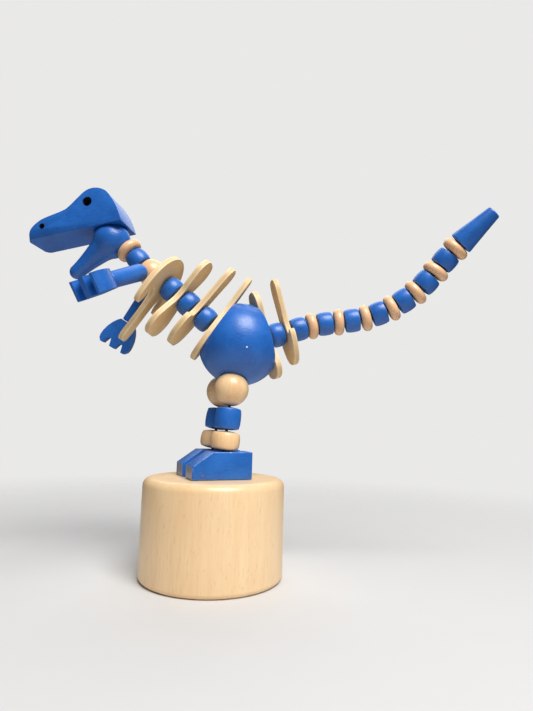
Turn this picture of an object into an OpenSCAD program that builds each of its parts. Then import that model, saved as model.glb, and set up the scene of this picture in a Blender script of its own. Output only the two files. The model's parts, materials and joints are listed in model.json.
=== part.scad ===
// Wooden dinosaur push puppet on a round drum base.
// Beads, rings and plates are strung on cords. Pressing the button under the drum slackens
// the cords, so that the legs buckle and the neck and tail droop.
// The figure looks toward -X, the drum stands on z = 0 and its axis is the Z axis.

/* [Drum base] */
// Diameter of the drum
drum_d = 55; // [50:0.5:70]
// Height of the drum
drum_h = 37.2; // [36:0.2:50]
// Thickness of the drum's side wall
drum_wall = 5.5; // [4:0.5:7]
// Thickness of the drum's top
drum_top = 6; // [4:0.5:7]
// Rounding of the drum's upper edge
drum_round_top = 3; // [1:0.5:4]
// Rounding of the drum's lower edge
drum_round_low = 2; // [0.5:0.5:3]

/* [Push button and spring] */
// Thickness of the button
button_t = 8; // [6:0.5:9]
// Depth of the thumb recess below the button
button_recess = 6; // [4.5:0.5:7]
// Rounding of the button's lower edge
button_round = 1.5; // [0.5:0.5:2]
// Mean diameter of the return spring
spring_d = 25; // [22:0.5:28]
// Diameter of the spring wire
spring_wire = 1.2; // [1:0.1:1.4]
// Number of spring curls
spring_curls = 5; // [4:1:6]

/* [Legs] */
// Distance between the two legs
leg_spacing = 14.6; // [14.6:0.2:17]
// Place of the legs behind the drum's axis
leg_x = 1; // [-2:0.5:4]
// Turn of the legs against the drum
leg_yaw = 18; // [-20:1:20]
// Backward lean of the left leg
left_leg_lean = 5; // [0:1:8]
// Backward lean of the right leg
right_leg_lean = 8; // [0:1:8]
// Length of a foot
foot_l = 23.5; // [20:0.5:26]
// Width of a foot
foot_w = 10; // [7:0.5:12]
// Height of a foot
foot_h = 10.3; // [8:0.1:14]
// Distance of the cord hole from the heel
foot_heel = 10; // [7:0.5:12]
// Length of the sloped toe
foot_slope_l = 7.6; // [4:0.2:9]
// Drop of the sloped toe
foot_slope_h = 5.3; // [3:0.1:7]
// Diameter of an ankle bead at its middle
ankle_d = 11.4; // [9:0.2:13]
// Diameter of an ankle bead at its ends
ankle_end_d = 9.8; // [7:0.2:10.8]
// Length of an ankle bead
ankle_l = 7.5; // [5:0.1:10]
// Diameter of a shin bead at its middle
shin_d = 9.8; // [8.8:0.2:12]
// Diameter of a shin bead at its ends
shin_end_d = 8.6; // [7:0.2:9.4]
// Length of a shin bead
shin_l = 9; // [6:0.1:12]
// Diameter of a hip ball
hip_d = 13.5; // [11:0.1:14]

/* [Pelvis] */
// Diameter of the pelvis ball
pelvis_d = 34; // [30:0.5:40]
// Place of the pelvis centre behind the hips
pelvis_back = 4.6; // [3:0.2:7]
// Height of the pelvis centre above the hips
pelvis_rise = 19; // [17:0.2:21]
// Distance of the front flat from the pelvis centre
pelvis_front = 11.4; // [9:0.2:13]
// Distance of the rear flat from the pelvis centre
pelvis_rear = 10.2; // [9:0.2:13]
// Turn of the front flat
front_yaw = 3; // [-2:0.5:5]
// Pitch of the front flat
front_pitch = 33; // [33:1:40]
// Turn of the rear flat
rear_yaw = 9; // [6:0.5:12]
// Pitch of the rear flat
rear_pitch = 18; // [16:1:26]

/* [Spine and neck] */
// Thickness of the rib plates
plate_t = 3; // [2:0.1:4]
// Diameter of a spine bead at its middle
spine_d = 8.8; // [8:0.2:10]
// Diameter of a spine bead at its ends
spine_end_d = 7.8; // [6:0.2:7.8]
// Length of a spine bead
spine_l = 5.8; // [4.6:0.1:8]
// Diameter of the shoulder bead at its middle
shoulder_d = 11.6; // [11.4:0.2:13]
// Diameter of the shoulder bead at its ends
shoulder_end_d = 8.6; // [7:0.2:9]
// Length of the shoulder bead
shoulder_l = 9.6; // [9:0.1:12]
// Diameter of the neck bead at its middle
neck_d = 8.6; // [8:0.2:10]
// Diameter of the neck bead at its ends
neck_end_d = 7.6; // [6:0.2:7.8]
// Length of the neck bead
neck_l = 7; // [5:0.1:9]
// Diameter of the neck ring
neck_ring_d = 11.2; // [9:0.2:13]
// Turn of the first spine bead
spine_yaw = -2; // [-4:0.5:10]
// Further turn of each piece along the spine
spine_turn = -1.2; // [-2:0.1:2]

/* [Head] */
// Width of the skull
skull_w = 16; // [14:0.5:24]
// Radius of the jaw's dome
jaw_r = 7.7; // [7:0.1:8.2]
// Distance of the jaw's seat from the dome's centre
jaw_seat = 6.8; // [3.6:0.1:6.9]
// Distance of the dome's centre below the neck's cord
jaw_drop = 2.1; // [0:0.1:2.2]
// Radius of the jaw's waist
jaw_waist_r = 4.4; // [3.8:0.1:5]
// Radius of the jaw's tip
jaw_tip_r = 3.1; // [2:0.1:3.8]
// Distance of the jaw's tip from the dome's centre
jaw_l = 20; // [15:0.5:23]
// Angle of the open mouth
jaw_open = 32; // [18:1:40]
// Diameter of an eye hole
eye_d = 4; // [3:0.1:5]
// Diameter of a nostril hole
nostril_d = 2.4; // [1.5:0.1:3]
// Depth of the eye and nostril holes
eye_depth = 5; // [2:0.5:6]
// Turn of the head
head_yaw = -13; // [-20:1:5]
// Pitch of the head
head_pitch = -11; // [-25:1:-5]

/* [Arms] */
// Diameter of an arm at the shoulder
arm_d = 7; // [6.4:0.1:8]
// Diameter of an arm at the hand
arm_end_d = 6.2; // [5:0.1:7]
// Length of an arm
arm_l = 19; // [16:0.5:24]
// Height of the shoulder pins below the neck cord
arm_drop = 3.6; // [3.4:0.1:3.8]
// Length of a hand
hand_l = 12.5; // [11:0.5:16]
// Width of a hand
hand_w = 13.5; // [13:0.5:18]
// Thickness of a hand
hand_t = 7.2; // [5:0.1:9]
// Width of the notches between the claws
notch_w = 2.6; // [1.5:0.1:3.2]
// Length of the claws
claw_l = 5; // [3:0.5:7]
// Diameter of the peg that holds a hand
peg_d = 3; // [2:0.1:3.4]
// Length of the peg that holds a hand
peg_l = 5; // [3:0.5:6]
// Pitch of the left arm
left_arm_pitch = -26; // [-40:1:0]
// Outward spread of the left arm
left_arm_spread = 62; // [30:1:70]
// Twist of the left hand
left_hand_twist = 14; // [-30:1:30]
// Pitch of the right arm
right_arm_pitch = -60; // [-60:1:-30]
// Outward spread of the right arm
right_arm_spread = 7; // [5:1:40]
// Twist of the right hand
right_hand_twist = 78; // [60:1:110]

/* [Tail] */
// Diameter of a tail bead at its middle
tail_d = 9; // [8.2:0.2:10]
// Diameter of a tail bead at its ends
tail_end_d = 8; // [6:0.2:8]
// Length of a tail bead
tail_l = 7.1; // [5:0.1:9]
// Diameter of a tail ring
ring_d = 11.4; // [9:0.2:14]
// Thickness of a ring
ring_t = 4; // [3:0.1:5]
// Diameter of the tail tip at its thick end
tip_d = 9.2; // [7:0.2:10]
// Diameter of the tail tip at its thin end
tip_end_d = 5.4; // [3:0.2:6]
// Length of the tail tip
tip_l = 17.5; // [15:0.5:30]
// Turn of the first tail bead
tail_yaw = 8; // [4:0.5:12]
// Further turn of each piece along the tail
tail_turn = -3; // [-3.5:0.1:0]

/* [Cords and fit] */
// Diameter of the cords
cord_d = 1.2; // [0.8:0.1:1.4]
// Diameter of the cord holes
bore_d = 2.6; // [2.4:0.1:2.9]
// Diameter of the knots that end the cords
knot_d = 3.2; // [2.8:0.1:3.4]
// Gap between pieces on a cord
gap = 0.3; // [0.25:0.05:0.5]
// Gap under the feet
foot_gap = 0.1; // [0.05:0.05:0.3]
// Clearance of the button in the drum and of the spring at its ends
slide_fit = 0.4; // [0.3:0.1:0.6]

/* [Hidden] */
$fn = 48;
// Radius of the domed ends of the beads
dome_r = 18;
// Diameter of the hollows that hold the knots
knot_hole_d = knot_d + 3 * gap;
// Diameter of the hollow in the middle of the pelvis
core_d = 9;
// Depth of the knot in the tail tip
tip_knot_x = 6;
// Height of the knot in the skull above the jaw's dome
skull_knot_z = 5;
// Points from one corner of a smooth outline to the next
outline_steps = 5;
// Share of the jaw tip's radius at which the jaw's straight side meets it
tip_inset = 0.99;
// Angle from the jaw's axis at which its straight side leaves the dome
jaw_lean = 52;
// Reach of a cutter past the face that it cuts
over = 1;

// Pitch of each piece at rest, in degrees above the level, from the pelvis outward
spine_pitch = [40, 38, 42, 38, 39, 34, 41, 46, 43];
tail_pitch = [20, 16, 18, 14, 10, 6, 9, 15, 21, 27, 33, 39, 46, 51, 47, 43, 39];

// Half outlines of the rib plates, across and up from the cord, from the top to the foot
rib_1_half = [[0, 23.5], [3.2, 22.6], [4.6, 19], [4.2, 11], [4, 4], [4.4, 0], [5.6, -2.6],
    [8.6, -3.4], [9.6, -7], [8, -13], [4, -16.4], [0, -17]];
rib_2_half = [[0, 19], [4.4, 18], [6.6, 13.6], [5.6, 7], [4.2, 2.6], [4.4, -2],
    [6.8, -7], [8.8, -12.4], [7.4, -17.6], [3.6, -19.8], [0, -20]];
chest_half = [[0, 12], [5, 11.2], [10, 8], [13.4, 2.6], [14.6, -4], [14, -10.4], [12, -13],
    [10.2, -10.6], [9.4, -6], [7.2, -4.4], [4.6, -6.4], [3.2, -12], [3, -20], [3, -26], [2, -28.6],
    [0, -29.2]];
front_rib_half = [[0, 25.5], [3, 24.7], [4.4, 21], [4.2, 12], [5.6, 5], [8.4, 0],
    [10, -6], [8.6, -12], [4.6, -15.4], [0, -16]];
rear_rib_half = [[0, 20], [4, 19], [6, 14.4], [5, 8], [4.4, 2], [5.2, -4],
    [7.4, -9], [8.2, -12.8], [6, -16.2], [2.6, -17.4], [0, -17.6]];
tail_rib_half = [[0, 23.4], [3, 22.6], [4.4, 19], [4.2, 12], [3.8, 6], [4.2, 2], [5.8, -1],
    [8.8, 0.2], [9.8, -3], [8, -9], [4.6, -13], [0, -14.2]];

// Side outline of the skull, forward and up from the jaw's dome, before it is cut flat below
skull_outline = [[32.2, 5.8], [30.6, 9], [28.1, 11.3], [24.6, 12.5], [17, 13.8], [13.9, 15], [9, 18.4],
    [6.2, 20.2], [3.6, 20.9], [1, 20.7], [-1.5, 19.6], [-3.8, 17.3], [-6.7, 10.6], [-7.9, 3], [-5, 1],
    [28, 1], [31.8, 3.2]];
// Height of the skull's underside above the centre of the jaw's dome
skull_low = 4.2;
eye_at = [5.5, 15.5];
nostril_at = [26.4, 9.1];

// Half outline of a hand, in shares of its length and width, from the wrist to the middle claw
hand_half = [[0, 0.23], [0.1, 0.31], [0.25, 0.39], [0.45, 0.46], [0.65, 0.495], [0.8, 0.5], [0.9, 0.48],
    [1, 0.4], [1, 0.1]];

// Names of the pieces strung along the spine and the tail, from the pelvis outward
spine_names = ["spine_bead_1", "rib_1", "spine_bead_2", "rib_2", "spine_bead_3", "chest_rib",
    "shoulder_bead", "neck_bead", "neck_ring"];
tail_pairs = 7;
tail_names = concat(["tail_bead_1", "tail_rib"],
    [for (i = [1:tail_pairs]) each [str("tail_bead_", i + 1), str("tail_ring_", i)]], ["tail_tip"]);
// The figure's left side lies toward -Y
sides = [["left", 1], ["right", -1]];

// Colours as the photograph shows them
paint = [0.10, 0.26, 0.62];
wood = [0.87, 0.68, 0.45];
drum_wood = [0.93, 0.80, 0.60];
ply = [0.90, 0.76, 0.55];
cord_black = [0.10, 0.10, 0.12];
steel = [0.72, 0.73, 0.75];

// Frames are 4 x 4 matrices that place a piece in the part
function shift(v) = [[1, 0, 0, v.x], [0, 1, 0, v.y], [0, 0, 1, v.z], [0, 0, 0, 1]];
function turn_x(a) = [[1, 0, 0, 0], [0, cos(a), -sin(a), 0], [0, sin(a), cos(a), 0], [0, 0, 0, 1]];
function turn_y(a) = [[cos(a), 0, sin(a), 0], [0, 1, 0, 0], [-sin(a), 0, cos(a), 0], [0, 0, 0, 1]];
function turn_z(a) = [[cos(a), -sin(a), 0, 0], [sin(a), cos(a), 0, 0], [0, 0, 1, 0], [0, 0, 0, 1]];
// Rotation whose +X axis is swung by yaw and raised by pitch
function aim(yaw, pitch) = turn_z(yaw) * turn_y(-pitch);
// Point of the part at v in a frame
function spot(frame, v = [0, 0, 0]) = let (p = frame * [v.x, v.y, v.z, 1]) [p.x, p.y, p.z];
// Frames of pieces strung end to end, each with its origin on the cord, halfway into the gap before it
function strung(start, turns, lengths, i = 0) =
    i == len(turns) ? [] :
    let (f = shift(start) * turns[i])
    concat([f], strung(spot(f, [lengths[i] + gap, 0, 0]), turns, lengths, i + 1));

// Legs, where side is 1 on the left and -1 on the right
leg_lengths = [ankle_l, shin_l, hip_d];
function leg_root(side) =
    shift([leg_x, 0, drum_h]) * turn_z(leg_yaw) * shift([0, -side * leg_spacing / 2, 0]);
function leg_links(side) = strung(
    spot(leg_root(side), [0, 0, foot_gap + foot_h + gap / 2]),
    [for (l = leg_lengths) aim(leg_yaw, 90 - (side > 0 ? left_leg_lean : right_leg_lean))],
    leg_lengths);
function hip_at(side) = spot(leg_links(side)[2], [gap / 2 + hip_d / 2, 0, 0]);

// Pelvis, with a frame for its front flat and one for its rear flat
pelvis_at = (hip_at(1) + hip_at(-1)) / 2 + [pelvis_back, 0, pelvis_rise];
front_frame = shift(pelvis_at) * aim(180 + front_yaw, front_pitch);
rear_frame = shift(pelvis_at) * aim(rear_yaw, rear_pitch);

// Spine, neck and head
spine_lengths = [spine_l, plate_t, spine_l, plate_t, spine_l, plate_t, shoulder_l, neck_l, ring_t];
spine_links = strung(
    spot(front_frame, [pelvis_front + plate_t + gap / 2, 0, 0]),
    [for (i = [0:len(spine_pitch) - 1]) aim(180 + spine_yaw + i * spine_turn, spine_pitch[i])],
    spine_lengths);
shoulder_link = spine_links[6];
jaw_link = spine_links[8] * shift([ring_t + gap, 0, 0]);
jaw_at = spot(jaw_link, [gap / 2 + jaw_seat, 0, -jaw_drop]);
// Outer end of the cord's hole in the jaw
jaw_mouth = spot(jaw_link) + over * unit(spot(jaw_link) - jaw_at);
head_frame = shift(jaw_at) * aim(180 + head_yaw, head_pitch);
skull_knot = spot(head_frame, [0, 0, jaw_r + skull_knot_z]);

// Arms
arm_out = shoulder_d / 2 + gap + arm_d / 2;
function arm_pivot(side) = spot(shoulder_link, [(gap + shoulder_l) / 2, side * arm_out, -arm_drop]);
function arm_frame(side) = shift(arm_pivot(side)) * (side > 0
    ? aim(180 + left_arm_spread, left_arm_pitch)
    : aim(180 - right_arm_spread, right_arm_pitch));
function hand_frame(side) = arm_frame(side) * shift([arm_l + gap, 0, 0])
    * turn_x(side > 0 ? left_hand_twist : right_hand_twist);

// Tail
tail_lengths = concat([spine_l, plate_t], [for (i = [1:tail_pairs]) each [tail_l, ring_t]], [tip_l]);
tail_links = strung(
    spot(rear_frame, [pelvis_rear + plate_t + gap / 2, 0, 0]),
    [for (i = [0:len(tail_pitch) - 1]) aim(tail_yaw + i * tail_turn, tail_pitch[i])],
    tail_lengths);
tip_link = tail_links[len(tail_links) - 1];
tip_knot = spot(tip_link, [gap / 2 + tip_knot_x, 0, 0]);

// Closed smooth curve through a ring of corners
function smooth(p) = [for (i = [0:len(p) - 1], k = [0:outline_steps - 1])
    let (n = len(p), t = k / outline_steps)
    let (a = p[(i + n - 1) % n], b = p[i], c = p[(i + 1) % n], d = p[(i + 2) % n])
    b + ((c - a) * t + (2 * a - 5 * b + 4 * c - d) * pow(t, 2) + (3 * b - a - 3 * c + d) * pow(t, 3)) / 2];
// Whole ring of corners from the half on one side of the middle line
function mirrored(half) = concat(half, [for (i = [len(half) - 2:-1:1]) [-half[i].x, half[i].y]]);

// Rod from one point to another
module rod(from, to, d) {
    v = to - from;
    translate(from)
        rotate([0, acos(v.z / norm(v)), atan2(v.y, v.x)])
            cylinder(h = norm(v), d = d);
}

// Tube along points, where up is a direction that the route never takes
function unit(v) = v / norm(v);
function along(p, i) = unit(p[min(i + 1, len(p) - 1)] - p[max(i - 1, 0)]);
function tube_points(p, d, up, n) = [for (i = [0:len(p) - 1], k = [0:n - 1])
    let (t = along(p, i), a = unit(cross(up, t)), b = cross(t, a))
    p[i] + d / 2 * (a * cos(360 * k / n) + b * sin(360 * k / n))];
function tube_faces(rings, n) = concat(
    [for (k = [1:n - 2]) [0, k, k + 1]],
    [for (i = [0:rings - 2], k = [0:n - 1])
        let (a = i * n + k, b = i * n + (k + 1) % n)
        each [[a, a + n, b], [b, a + n, b + n]]],
    [for (k = [1:n - 2]) [(rings - 1) * n, (rings - 1) * n + k + 1, (rings - 1) * n + k]]);
module tube(p, d, up, n) {
    polyhedron(tube_points(p, d, up, n), tube_faces(len(p), n), convexity = 10);
}

// Turned bead along +X with a bulging side, domed ends and a cord hole
module turned_bead(d, end_d, l) {
    sag = (d - end_d) / 2;
    side_r = (pow(l / 2, 2) + pow(sag, 2)) / (2 * sag);
    translate([gap / 2, 0, 0])
        rotate([0, 90, 0])
            rotate_extrude()
                difference() {
                    intersection() {
                        square([d / 2, l]);
                        translate([d / 2 - side_r, l / 2]) circle(side_r);
                        translate([0, dome_r]) circle(dome_r);
                        translate([0, l - dome_r]) circle(dome_r);
                    }
                    square([bore_d / 2, l]);
                }
}

// Ring along +X with a full round rim and a cord hole
module round_ring(d) {
    translate([(gap + ring_t) / 2, 0, 0])
        rotate([0, 90, 0])
            rotate_extrude() {
                translate([bore_d / 2, -ring_t / 2]) square([(d - ring_t - bore_d) / 2, ring_t]);
                translate([(d - ring_t) / 2, 0]) circle(ring_t / 2);
            }
}

// Plate square to +X with a cord hole
module rib_plate(half) {
    difference() {
        rotate([90, 0, 90])
            linear_extrude(plate_t)
                polygon(smooth(mirrored(half)));
        translate([-over, 0, 0])
            rotate([0, 90, 0])
                cylinder(h = plate_t + 2 * over, d = bore_d);
    }
}

module base_drum() {
    r = drum_d / 2;
    color(drum_wood)
        difference() {
            rotate_extrude() {
                square([r - drum_round_low, drum_h / 2]);
                square([r - drum_round_top, drum_h]);
                translate([0, drum_round_low]) square([r, drum_h - drum_round_low - drum_round_top]);
                translate([r - drum_round_top, drum_h - drum_round_top]) circle(drum_round_top);
                translate([r - drum_round_low, drum_round_low]) circle(drum_round_low);
            }
            translate([0, 0, -over])
                cylinder(h = drum_h - drum_top + over, r = r - drum_wall);
            for (s = sides)
                multmatrix(leg_root(s[1]))
                    translate([0, 0, -drum_top - over])
                        cylinder(h = drum_top + 2 * over, d = bore_d);
        }
}

module push_button() {
    r = drum_d / 2 - drum_wall - slide_fit;
    color(drum_wood)
        difference() {
            translate([0, 0, button_recess])
                rotate_extrude() {
                    square([r - button_round, button_t]);
                    translate([0, button_round]) square([r, button_t - button_round]);
                    translate([r - button_round, button_round]) circle(button_round);
                }
            for (s = sides)
                translate([leg_knot(s[1]).x, leg_knot(s[1]).y, button_recess]) {
                    translate([0, 0, -over]) cylinder(h = button_t + 2 * over, d = bore_d);
                    translate([0, 0, -over]) cylinder(h = knot_hole_d + over, d = knot_hole_d);
                }
        }
}

// The spring runs from the button to the underside of the drum's top
spring_low = button_recess + button_t + slide_fit + spring_wire / 2;
spring_high = drum_h - drum_top - slide_fit - spring_wire / 2;
curl_rings = 8;
spring_route = [for (i = [0:spring_curls * curl_rings])
    [spring_d / 2 * cos(360 * i / curl_rings), spring_d / 2 * sin(360 * i / curl_rings),
        spring_low + (spring_high - spring_low) * i / (spring_curls * curl_rings)]];
// Least gap between places on the wire that lie half a curl or more apart
spring_gap = min([for (i = [0:len(spring_route) - 1], k = [i + curl_rings / 2:1:len(spring_route) - 1])
    norm(spring_route[i] - spring_route[k])]) - spring_wire;
echo(spring_gap = spring_gap);

module return_spring() {
    color(steel) tube(spring_route, spring_wire, [0, 0, 1], 6);
}

// Knot of a leg cord, in the hollow under the button
function leg_knot(side) =
    let (p = spot(leg_root(side))) [p.x, p.y, button_recess + knot_hole_d - gap - knot_d / 2];
function leg_route(side) = concat(
    [leg_knot(side), spot(leg_root(side))],
    [for (f = leg_links(side)) spot(f)], [hip_at(side)]);

// Bend of a cord in the hollow of the pelvis, from a hip's hole to a flat's hole
function core_route(side, flat) =
    let (reach = core_d / 2 - cord_d)
    [pelvis_at + reach * unit(hip_at(side) - pelvis_at), spot(flat, [reach, 0, 0])];

module cord(route, up) {
    color(cord_black) {
        tube(route, cord_d, up, 8);
        for (end = [route[0], route[len(route) - 1]]) translate(end) sphere(d = knot_d);
    }
}

// The left leg's cord turns forward in the pelvis and ends in the skull
module head_cord() {
    cord(concat(leg_route(1), core_route(1, front_frame),
        [for (f = spine_links) spot(f)], [spot(jaw_link), jaw_at, skull_knot]), [0, 1, 0]);
}

// The right leg's cord turns backward in the pelvis and ends in the tail's tip
module tail_cord() {
    cord(concat(leg_route(-1), core_route(-1, rear_frame),
        [for (f = tail_links) spot(f)], [tip_knot]), [0, 1, 0]);
}

// A short cord through the shoulder bead holds both arms
module arm_cord() {
    cord([arm_pivot(1), arm_pivot(-1)], [0, 0, 1]);
}

module foot(side) {
    toe = foot_heel - foot_l;
    color(paint)
        multmatrix(leg_root(side) * shift([0, 0, foot_gap]))
            difference() {
                rotate([90, 0, 0])
                    translate([0, 0, -foot_w / 2])
                        linear_extrude(foot_w)
                            polygon([[toe, 0], [foot_heel, 0], [foot_heel, foot_h],
                                [toe + foot_slope_l, foot_h], [toe, foot_h - foot_slope_h]]);
                translate([0, 0, -over]) cylinder(h = foot_h + 2 * over, d = bore_d);
            }
}

module ankle_bead(side) {
    color(wood) multmatrix(leg_links(side)[0]) turned_bead(ankle_d, ankle_end_d, ankle_l);
}

module shin_bead(side) {
    color(paint) multmatrix(leg_links(side)[1]) turned_bead(shin_d, shin_end_d, shin_l);
}

// The cord comes up into the ball's centre and leaves it toward the pelvis
module hip_ball(side) {
    color(wood)
        difference() {
            translate(hip_at(side)) sphere(d = hip_d);
            rod(hip_at(side), spot(leg_links(side)[2]), bore_d);
            rod(hip_at(side), pelvis_at, bore_d);
            translate(hip_at(side)) sphere(d = bore_d + 2 * gap);
        }
}

// Ball with a flat for each of its two ribs, seats for the hip balls and ways for the cords
module pelvis_ball() {
    color(paint)
        difference() {
            translate(pelvis_at) sphere(d = pelvis_d);
            for (flat = [[front_frame, pelvis_front], [rear_frame, pelvis_rear]])
                multmatrix(flat[0]) {
                    translate([flat[1], -pelvis_d, -pelvis_d])
                        cube([pelvis_d, 2 * pelvis_d, 2 * pelvis_d]);
                    rotate([0, 90, 0]) cylinder(h = pelvis_d, d = bore_d);
                }
            for (s = sides) {
                translate(hip_at(s[1])) sphere(d = hip_d + 2 * gap);
                rod(hip_at(s[1]), pelvis_at, bore_d);
            }
            translate(pelvis_at) sphere(d = core_d);
        }
}

module pelvis_front_rib() {
    color(ply) multmatrix(front_frame) translate([pelvis_front, 0, 0]) rib_plate(front_rib_half);
}

module pelvis_rear_rib() {
    color(ply) multmatrix(rear_frame) translate([pelvis_rear, 0, 0]) rib_plate(rear_rib_half);
}

module spine_bead(link) {
    color(paint) multmatrix(link) turned_bead(spine_d, spine_end_d, spine_l);
}

module rib(link, half) {
    color(ply) multmatrix(link) translate([gap / 2, 0, 0]) rib_plate(half);
}

module shoulder_bead() {
    color(wood)
        multmatrix(shoulder_link)
            difference() {
                turned_bead(shoulder_d, shoulder_end_d, shoulder_l);
                translate([(gap + shoulder_l) / 2, 0, -arm_drop])
                    rotate([90, 0, 0])
                        cylinder(h = 2 * shoulder_d, d = bore_d, center = true);
            }
}

module neck_bead() {
    color(paint) multmatrix(spine_links[7]) turned_bead(neck_d, neck_end_d, neck_l);
}

module neck_ring() {
    color(wood) multmatrix(spine_links[8]) round_ring(neck_ring_d);
}

// Turned jaw: a round dome and a round tip joined by a cone with a slight waist
module turned_jaw() {
    neck_x = jaw_r * cos(jaw_lean);
    neck_r = jaw_r * sin(jaw_lean);
    rotate_extrude()
        intersection() {
            translate([0, -jaw_r]) square([jaw_r, 2 * jaw_r + jaw_l]);
            union() {
                circle(jaw_r);
                translate([0, jaw_l]) circle(jaw_tip_r);
                polygon([[0, 0], [neck_r, neck_x], [jaw_waist_r, jaw_l / 2], [tip_inset * jaw_tip_r, jaw_l],
                    [0, jaw_l]]);
            }
        }
}

module lower_jaw() {
    color(paint)
        difference() {
            multmatrix(head_frame) rotate([0, 90 + jaw_open, 0]) turned_jaw();
            multmatrix(jaw_link)
                translate([gap / 2 - 2 * jaw_r, -skull_w, -skull_w])
                    cube([2 * jaw_r, 2 * skull_w, 2 * skull_w]);
            rod(jaw_at, jaw_mouth, bore_d);
            translate(jaw_at) sphere(d = bore_d + 2 * gap);
            rod(jaw_at, skull_knot, bore_d);
        }
}

module skull() {
    color(paint)
        multmatrix(head_frame)
            difference() {
                rotate([90, 0, 0])
                    translate([0, 0, -skull_w / 2])
                        linear_extrude(skull_w)
                            intersection() {
                                polygon(smooth(skull_outline));
                                translate([-skull_w, skull_low]) square([4 * skull_w, 2 * skull_w]);
                            }
                sphere(r = jaw_r + gap);
                cylinder(h = jaw_r + skull_knot_z, d = bore_d);
                translate([0, 0, jaw_r + skull_knot_z]) sphere(d = knot_hole_d);
                for (s = sides, hole = [[eye_at, eye_d], [nostril_at, nostril_d]])
                    translate([hole[0].x, s[1] * skull_w / 2, hole[0].y])
                        rotate([90, 0, 0])
                            cylinder(h = 2 * eye_depth, d = hole[1], center = true);
            }
}

// Tapered arm with a round shoulder, a hollow for its knot and a hole for the hand's peg
module arm(side) {
    color(paint)
        difference() {
            multmatrix(arm_frame(side)) {
                sphere(d = arm_d);
                rotate([0, 90, 0]) cylinder(h = arm_l, d1 = arm_d, d2 = arm_end_d);
            }
            translate(arm_pivot(side)) sphere(d = knot_hole_d);
            rod(arm_pivot(side), arm_pivot(-side), bore_d);
            multmatrix(arm_frame(side))
                translate([arm_l - peg_l - gap, 0, 0])
                    rotate([0, 90, 0])
                        cylinder(h = peg_l + over, d = peg_d + gap);
        }
}

// Fan-shaped hand with three claws and a peg
module hand(side) {
    color(paint)
        multmatrix(hand_frame(side)) {
            translate([0, 0, -hand_t / 2])
                linear_extrude(hand_t)
                    difference() {
                        polygon(concat(
                            [for (p = hand_half) [p.x * hand_l, p.y * hand_w]],
                            [for (i = [len(hand_half) - 1:-1:0])
                                [hand_half[i].x * hand_l, -hand_half[i].y * hand_w]]));
                        for (s = sides)
                            translate([hand_l - claw_l, s[1] * hand_w / 5]) {
                                circle(d = notch_w);
                                translate([0, -notch_w / 2]) square([2 * claw_l, notch_w]);
                            }
                    }
            translate([-peg_l, 0, 0]) rotate([0, 90, 0]) cylinder(h = peg_l + over, d = peg_d);
        }
}

module tail_bead(link) {
    color(paint) multmatrix(link) turned_bead(tail_d, tail_end_d, tail_l);
}

module tail_ring(link) {
    color(wood) multmatrix(link) round_ring(ring_d);
}

// Cone with a slightly domed base and a blind hole for the cord's knot
module tail_tip() {
    color(paint)
        multmatrix(tip_link)
            difference() {
                translate([gap / 2, 0, 0])
                    rotate([0, 90, 0])
                        rotate_extrude()
                            intersection() {
                                polygon([[0, 0], [tip_d / 2, 0], [tip_end_d / 2, tip_l], [0, tip_l]]);
                                translate([0, tip_l]) circle(tip_l);
                            }
                translate([-over, 0, 0]) rotate([0, 90, 0]) cylinder(h = tip_knot_x + over, d = bore_d);
                translate([gap / 2 + tip_knot_x, 0, 0]) sphere(d = knot_hole_d);
            }
}

base_drum();
push_button();
return_spring();
head_cord();
tail_cord();
arm_cord();
for (s = sides) {
    foot(s[1]);
    ankle_bead(s[1]);
    shin_bead(s[1]);
    hip_ball(s[1]);
    arm(s[1]);
    hand(s[1]);
}
pelvis_ball();
pelvis_front_rib();
pelvis_rear_rib();
for (i = [1:3])
    spine_bead(spine_links[2 * i - 2]);
rib(spine_links[1], rib_1_half);  // rib_1
rib(spine_links[3], rib_2_half);  // rib_2
rib(spine_links[5], chest_half);  // chest_rib
shoulder_bead();
neck_bead();
neck_ring();
lower_jaw();
skull();
spine_bead(tail_links[0]);  // tail_bead_1
rib(tail_links[1], tail_rib_half);  // tail_rib
for (i = [1:tail_pairs]) {
    tail_bead(tail_links[2 * i]);
    tail_ring(tail_links[2 * i + 1]);
}
tail_tip();
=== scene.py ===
"""Looks of a wooden dinosaur push puppet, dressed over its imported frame."""

import json
import logging
import math
from dataclasses import dataclass, replace
from enum import Enum
from typing import Any, ClassVar, Optional, Sequence, Union

import bmesh
import bpy
from mathutils import Matrix, Vector

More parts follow.
